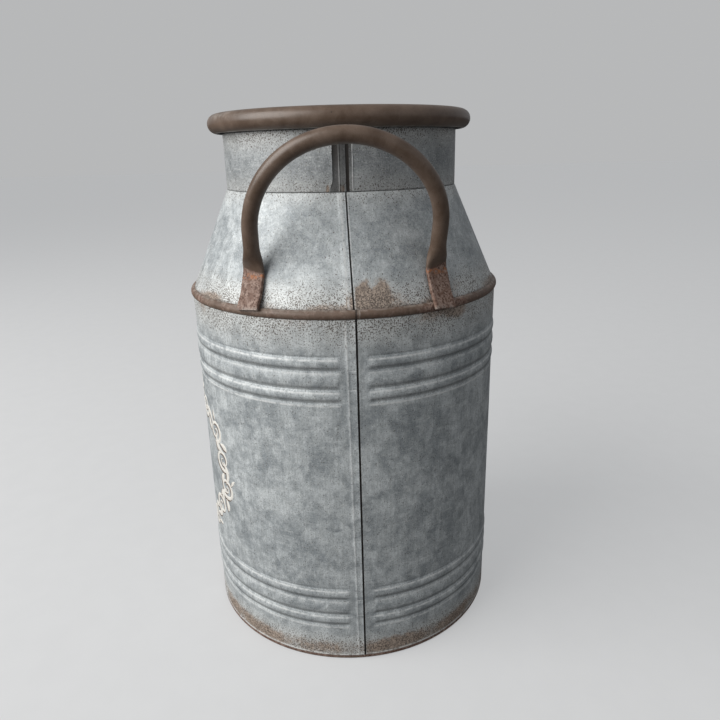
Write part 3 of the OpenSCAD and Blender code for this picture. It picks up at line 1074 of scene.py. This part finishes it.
@dataclass(frozen=True)
class Cut:
    """A cross-section of the handle's bar: where it is, how it is turned, and its shape."""

    place: Vector
    turn: Quaternion
    thick: float
    wide: float
    square: float
    rust: float
    wear: float = 0.0

    def point(self, angle: float) -> Vector:
        """Returns the point of the outline at an angle; square is 2 for round and more for boxy."""
        power = 2 / self.square
        x = copysign(abs(cos(angle)) ** power, cos(angle)) * self.thick
        y = copysign(abs(sin(angle)) ** power, sin(angle)) * self.wide
        return self.place + self.turn @ Vector((x, y, 0.0))


@dataclass
class Handle:
    """Bent tube whose flattened ends lie on the shoulder."""

    sizes: CanSizes
    paint: Material
    side: Side
    node: str
    tube_r: float = 5.25 * MM
    half_w: float = 60.5 * MM
    leg: float = 30.0 * MM
    lean: float = 22.0
    turn: float = 0.6
    sway: float = 1.6 * MM
    tab_turn: float = 5.0
    tab_w: float = 16.8 * MM
    tab_t: float = 3.0 * MM
    tab_len: float = 26.0 * MM
    tab_extra: float = 3.0 * MM
    flat_from: float = 20.0 * MM
    fit: float = 0.3 * MM
    points: int = 32
    arch_steps: int = 64
    turn_steps: int = 6
    tab_steps: int = 13
    turn_reach: float = 1.9 * MM
    tab_lift: float = 1.7 * MM
    sway_h: float = 55.0 * MM

    def __post_init__(self) -> None:
        """Works out where the bends are."""
        s = self.sizes
        rise = (self.leg + self.half_w) * cos(radians(self.lean))
        self.bend_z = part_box(self.node)[1].z - self.tube_r - rise
        bend_r = s.cone_r(self.bend_z) + (self.tab_t / 2 + self.fit) / cos(radians(s.slope))
        self.bend_at = asin(self.half_w / bend_r)
        self.bend_x = bend_r * cos(self.bend_at)
        self.upright = Quaternion((0, 1, 0), radians(self.lean))

    def leg_turn(self, hand: int, share: float) -> Quaternion:
        """Returns the turn of a leg's section; share is how far it has turned to the tab."""
        return self.upright @ Quaternion((0, 0, 1), hand * self.bend_at * share)

    def leg_cuts(self, hand: int) -> list[Cut]:
        """Returns the sections of one leg and its tab, from the arch down.

        Args:
            hand: 1 for the leg towards +Y, -1 for the other.
        """
        bend = Vector((self.bend_x, hand * self.half_w, self.bend_z))
        tab_turn = Quaternion((0, 0, 1), hand * self.bend_at)
        tab_turn = tab_turn @ Quaternion((0, 1, 0), -radians(self.sizes.slope))
        tab_turn = tab_turn @ Quaternion((1, 0, 0), -hand * radians(self.tab_turn))
        cuts = []
        for d in (26, 22, 20, 18, 16, 14, 12, 10, 8, 6.5, 5, 3.8, 2.8):
            share = smooth(d * MM, self.flat_from, 1.0 * MM)
            turn = self.leg_turn(hand, share)
            flat = smooth(d * MM, self.flat_from * 0.9, 2.0 * MM)
            cuts.append(Cut(
                bend + turn @ Vector((0, 0, d * MM)), turn,
                self.tube_r + (self.tab_t * 0.62 - self.tube_r) * flat,
                self.tube_r + (self.tab_w / 2 - self.tube_r) * share ** 1.3,
                2 + 1.2 * flat, 0.25 * smooth(d, 9, 3)))
        upper = self.leg_turn(hand, 1.0)
        reach = Vector((0, 0, self.turn_reach))
        start, end = bend + upper @ reach, bend - tab_turn @ reach
        for i in range(self.turn_steps + 1):
            t = i / self.turn_steps
            place = start * (1 - t) ** 2 + bend * 2 * t * (1 - t) + end * t ** 2
            cuts.append(Cut(place, upper.slerp(tab_turn, t), self.tab_t * (0.56 - 0.06 * t),
                            self.tab_w / 2, 3.6 + 3 * t, 0.6 + 0.4 * t))
        length = self.tab_len + self.tab_extra * (hand > 0)
        for i in range(self.tab_steps + 1):
            share = i / self.tab_steps
            e = 3 + (length / MM - 3.5) * share
            lift = self.tab_lift * smooth(share, 0.45, 0.95)
            place = bend + tab_turn @ Vector((lift, 0, -e * MM))
            cuts.append(Cut(place, tab_turn, self.tab_t / 2, self.tab_w / 2, 9.0,
                            1.0 - 0.3 * smooth(e, 3, 8), 0.3 * smooth(share, 0.9, 1)))
        last = cuts[-1]
        for step, shrink in ((0.35, 0.12), (0.5, 0.4)):
            place = last.place + tab_turn @ Vector((0, 0, -step * MM))
            thick, wide = last.thick - shrink * MM, last.wide - shrink * MM
            cuts.append(Cut(place, tab_turn, thick, wide, 9.0, 0.7, 0.3))
        return cuts

    def build(self) -> bpy.types.Object:
        """Returns the handle."""
        bm = bmesh.new()
        masks = {mask: bm.verts.layers.float.new(mask.value) for mask in Mask}
        top = Vector((self.bend_x, 0, self.bend_z)) + self.upright @ Vector((0, 0, self.leg))
        made = bmesh.ops.create_circle(bm, segments=self.points, radius=self.tube_r)
        first = made["verts"]
        for i, vert in enumerate(first):
            angle = tau * i / self.points
            local = Vector((cos(angle) * self.tube_r, self.half_w + sin(angle) * self.tube_r, 0))
            vert.co = top + self.upright @ local
        ring = list(first) + list(bm.edges)
        axis = self.upright @ Vector((1, 0, 0))
        turned = bmesh.ops.spin(bm, geom=ring, cent=top, axis=axis, dvec=(0, 0, 0), angle=pi,
                                steps=self.arch_steps, use_merge=False)
        last = [v for v in turned["geom_last"] if isinstance(v, bmesh.types.BMVert)]
        self.run_leg(bm, masks, list(first), 1)
        self.run_leg(bm, masks, last, -1)
        bmesh.ops.recalc_face_normals(bm, faces=bm.faces)
        for vert in bm.verts:
            vert.co.y += self.sway * smooth(vert.co.z, self.bend_z, self.bend_z + self.sway_h)
        spin = Matrix.Rotation(radians(self.turn + self.side.value), 4, "Z")
        bmesh.ops.transform(bm, matrix=spin, verts=bm.verts)
        name = "handle_bar_" + self.side.name.lower()
        return finish_piece(bm, name, [self.paint], [self.node], 40.0)

    def run_leg(self, bm: bmesh.types.BMesh, masks: dict, ring: list, hand: int) -> None:
        """Extrudes a ring down one leg, through the bend, to the tab's closed end.

        Args:
            bm: The handle's mesh.
            masks: Its mask layers.
            ring: The vertices of the arch's end on that side.
            hand: 1 for the leg towards +Y, -1 for the other.
        """
        top = Vector((self.bend_x, hand * self.half_w, self.bend_z))
        flat = self.leg_turn(hand, 0.0).inverted()
        top += self.upright @ Vector((0, 0, self.leg))
        angles = {}
        for vert in ring:
            local = flat @ (vert.co - top)
            angles[vert] = atan2(local.y, local.x)
        edges = [e for e in bm.edges if all(v in angles for v in e.verts)]
        for cut in self.leg_cuts(hand):
            order = angles
            grown = bmesh.ops.extrude_edge_only(bm, edges=edges)["geom"]
            edges = [g for g in grown if isinstance(g, bmesh.types.BMEdge)]
            fresh = [g for g in grown if isinstance(g, bmesh.types.BMVert)]
            angles = {}
            for vert in fresh:
                source = next(e.other_vert(vert) for e in vert.link_edges if e.other_vert(vert) in order)
                angles[vert] = order[source]
                vert.co = cut.point(angles[vert])
                vert[masks[Mask.RUST]] = cut.rust
                vert[masks[Mask.WEAR]] = cut.wear
            edges = [e for e in edges if all(v in angles for v in e.verts)]
        bmesh.ops.contextual_create(bm, geom=edges)


# Printed wreath


@dataclass
class FrontPrint:
    """A plain wreath of scrolls and leaves, printed on the can's -Y face, bare inside."""

    sizes: CanSizes
    pale: Material
    brown: Material
    middle_z: float = 137.0 * MM
    half_w: float = 76.0 * MM
    half_h: float = 59.0 * MM
    units: int = 16
    thick: float = 0.22 * MM
    weight: float = 1.55

    def stroke(self, bm: bmesh.types.BMesh, line: list[Vector], width: Callable[[float], float],
               material: int, lift: float) -> None:
        """Lays one flat brush stroke round the body.

        Args:
            bm: The print's mesh.
            line: Its middle, as places round and up the face.
            width: Its half width at a share of its length.
            material: Its material's index.
            lift: How far its face stands off the sheet.
        """
        sections = []
        for i, here in enumerate(line):
            ahead = line[min(i + 1, len(line) - 1)] - line[max(i - 1, 0)]
            side = Vector((-ahead.y, ahead.x)).normalized() * width(i / (len(line) - 1))
            sections.append([(here + side * k, lift if abs(k) < 0.9 else lift - self.thick)
                             for k in (-1.0, -0.75, 0.75, 1.0)])
        rings = [[bm.verts.new(self.wrapped(place, height)) for place, height in section]
                 for section in sections]
        for low, high in zip(rings, rings[1:]):
            for i in range(len(low) - 1):
                face = bm.faces.new((low[i], low[i + 1], high[i + 1], high[i]))
                face.material_index = material

    def wrapped(self, place: Vector, height: float) -> Vector:
        """Returns a place on the face wrapped round the body."""
        turn = radians(-90) + place.x / self.sizes.body_r
        r = self.sizes.body_r + height
        return Vector((r * cos(turn), r * sin(turn), place.y))

    def unit(self, at: float, flip: int) -> list[tuple[list[Vector], Callable[[float], float]]]:
        """Returns the strokes of one scroll with its leaves.

        Args:
            at: Its direction round the wreath, in degrees.
            flip: 1 for a scroll that curls outwards, -1 for inwards.
        """
        turn = radians(at)
        centre = Vector((self.half_w * cos(turn), self.middle_z + self.half_h * sin(turn)))
        out = Vector((cos(turn) / self.half_w, sin(turn) / self.half_h)).normalized()
        forward = Vector((-out.y, out.x))
        size = 9.6 * MM

        def put(x: float, y: float) -> Vector:
            """Returns a place in the unit's own directions."""
            return centre + forward * x * size + out * y * size * flip

        curl = []
        for i in range(27):
            t = i / 26
            angle = radians(200 - 560 * t)
            reach = 0.95 * (1 - t) ** 0.8 + 0.1
            curl.append(put(0.55 + reach * cos(angle) * 0.9, 0.1 + reach * sin(angle)))
        stem = [put(-1.5 + 1.9 * t, -0.45 * sin(pi * t) + 0.1) for t in (i / 10 for i in range(11))]
        leaf = [put(-0.6 - 0.9 * t, 0.25 + 1.1 * t - 0.5 * t * t) for t in (i / 8 for i in range(9))]
        tip = [put(1.3 + 0.8 * t, 0.75 + 0.3 * t * t) for t in (i / 6 for i in range(7))]
        return [
            (curl, lambda t: (0.22 + 0.95 * (1 - t)) * MM),
            (stem, lambda t: (0.25 + 1.3 * sin(pi * t) ** 0.8) * MM),
            (leaf, lambda t: (0.12 + 1.5 * sin(pi * t) ** 0.9) * MM),
            (tip, lambda t: (0.12 + 0.8 * sin(pi * t)) * MM),
        ]

    def build(self) -> bpy.types.Object:
        """Returns the print."""
        bm = bmesh.new()
        for i in range(self.units):
            for line, width in self.unit(360 * i / self.units + 6, 1 if i % 2 else -1):
                shade = [p + Vector((-1.2 * MM, -1.2 * MM)) for p in line]
                self.stroke(bm, shade, lambda t, w=width: w(t) * self.weight * 1.15, 1, 0.1 * MM)
                self.stroke(bm, line, lambda t, w=width: w(t) * self.weight, 0, 0.18 * MM)
        bmesh.ops.recalc_face_normals(bm, faces=bm.faces)
        return finish_piece(bm, "printed_wreath", [self.pale, self.brown])


# Studio


@dataclass
class Studio:
    """Pale floor and backdrop, soft light and the camera."""

    camera_at: tuple[float, float, float] = (0.5090, 0.0, 0.3726)
    yaw: float = 1.266
    pitch: float = 18.388
    roll: float = -1.4375
    lens: float = 31.445
    floor_tone: float = 0.3
    floor_glow: Colour = (0.37, 0.375, 0.38)
    bounce_tone: float = 0.16
    sky_tone: Colour = (0.475, 0.48, 0.485)
    sky_light: float = 0.33

    def build(self) -> None:
        """Builds everything round the can."""
        self.floor()
        self.lamps()
        self.camera()
        bpy.context.scene.view_settings.view_transform = "Standard"

    def floor(self) -> None:
        """Lays a wide flat floor."""
        bm = bmesh.new()
        bmesh.ops.create_grid(bm, x_segments=4, y_segments=4, size=14.0)
        mesh = bpy.data.meshes.new("floor")
        bm.to_mesh(mesh)
        bm.free()
        mesh.materials.append(self.floor_material())
        floor = bpy.data.objects.new("floor", mesh)
        bpy.context.scene.collection.objects.link(floor)

    def floor_material(self) -> Material:
        """Returns a matt material that looks pale and even, and throws back little light."""
        g = Graph("floor_matt")
        rays = g.tree.nodes.new("ShaderNodeLightPath")
        seen = rays.outputs["Is Camera Ray"]
        grain = g.step(g.noise(40, 3, 0.5), 0.3, 0.7, 0.97, 1.0)
        pale = g.mix(1.0, (self.floor_tone,) * 3, grain, "MULTIPLY")
        g.feed(g.shader.inputs["Base Color"], g.mix(seen, (self.bounce_tone,) * 3, pale))
        g.feed(g.shader.inputs["Emission Strength"], seen)
        g.feed(g.shader.inputs["Emission Color"], self.floor_glow)
        g.shader.inputs["Roughness"].default_value = 0.9
        g.shader.inputs["Specular IOR Level"].default_value = 0.1
        return g.material

    def lamps(self) -> None:
        """Hangs a large soft lamp on the -Y side, a small fill, and sets the sky."""
        self.area("window", (0.75, -1.6, 1.3), (0.0, 0.0, 0.2), 1.9, 60.0, (1.0, 0.99, 0.97))
        self.area("fill", (1.4, 1.3, 1.0), (0.0, 0.0, 0.2), 1.4, 0.8, (1.0, 0.97, 0.94))
        world = bpy.data.worlds.new("soft_sky")
        world.use_nodes = True
        tree = world.node_tree
        light = tree.nodes["Background"]
        light.inputs["Color"].default_value = (0.95, 0.97, 1.0, 1.0)
        light.inputs["Strength"].default_value = self.sky_light
        seen = tree.nodes.new("ShaderNodeBackground")
        seen.inputs["Color"].default_value = (*self.sky_tone, 1.0)
        choose = tree.nodes.new("ShaderNodeMixShader")
        rays = tree.nodes.new("ShaderNodeLightPath")
        tree.links.new(rays.outputs["Is Camera Ray"], choose.inputs[0])
        tree.links.new(light.outputs[0], choose.inputs[1])
        tree.links.new(seen.outputs[0], choose.inputs[2])
        tree.links.new(choose.outputs[0], tree.nodes["World Output"].inputs["Surface"])
        bpy.context.scene.world = world

    def area(self, name: str, place: tuple, target: tuple, size: float, watts: float, tint: Colour) -> None:
        """Hangs a square lamp that faces a target.

        Args:
            name: Its name.
            place: Where it hangs.
            target: Where it faces.
            size: Its side.
            watts: Its power.
            tint: Its colour.
        """
        data = bpy.data.lights.new(name, "AREA")
        data.size = size
        data.energy = watts
        data.color = tint
        lamp = bpy.data.objects.new(name, data)
        lamp.location = place
        lamp.rotation_euler = (Vector(target) - Vector(place)).to_track_quat("-Z", "Y").to_euler()
        bpy.context.scene.collection.objects.link(lamp)

    def camera(self) -> None:
        """Sets the camera in front of the seams, looking a little down."""
        yaw, pitch, roll = (radians(a) for a in (self.yaw, self.pitch, self.roll))
        ahead = cos(pitch)
        forward = Vector((-cos(yaw) * ahead, sin(yaw) * ahead, -sin(pitch)))
        right = Vector((sin(yaw), cos(yaw), 0.0))
        up = right.cross(forward)
        across = right * cos(roll) + up * sin(roll)
        upward = up * cos(roll) - right * sin(roll)
        data = bpy.data.cameras.new("camera")
        data.lens = self.lens
        data.sensor_width = 36.0
        data.clip_start = 0.01
        camera = bpy.data.objects.new("camera", data)
        turn = Matrix((across, upward, -forward)).transposed().to_4x4()
        camera.matrix_world = Matrix.Translation(self.camera_at) @ turn
        bpy.context.scene.collection.objects.link(camera)
        bpy.context.scene.camera = camera


def main() -> None:
    """Builds the can and its studio."""
    logging.basicConfig(level=logging.INFO, format="%(message)s")
    sizes = CanSizes.from_frame()
    zinc = ZincFinish("weathered_zinc").make()
    dark = ZincFinish("dull_zinc", light=(0.42, 0.44, 0.45), dark=(0.2, 0.215, 0.225), grain=0.6,
                      scuffs=0.35).make()
    pan = ZincFinish("inner_zinc", light=(0.4, 0.42, 0.43), dark=(0.22, 0.235, 0.245)).make()
    paint = PaintFinish("brown_satin").make()
    pale = PrintFinish("print_pale", (0.78, 0.76, 0.71), (0.5, 0.47, 0.43)).make()
    shade = PrintFinish("print_shade", (0.13, 0.085, 0.06), (0.26, 0.21, 0.18)).make()
    BodyShell(sizes, zinc, paint).build()
    ShoulderCone(sizes, zinc).build()
    NeckCollar(sizes, dark).build()
    RimRing(sizes, paint).build()
    BasePan(sizes, pan).build()
    Handle(sizes, paint, Side.RIGHT, "handle_right").build()
    Handle(sizes, paint, Side.LEFT, "handle_left").build()
    FrontPrint(sizes, pale, shade).build()
    Studio().build()


if __name__ == "__main__":
    main()
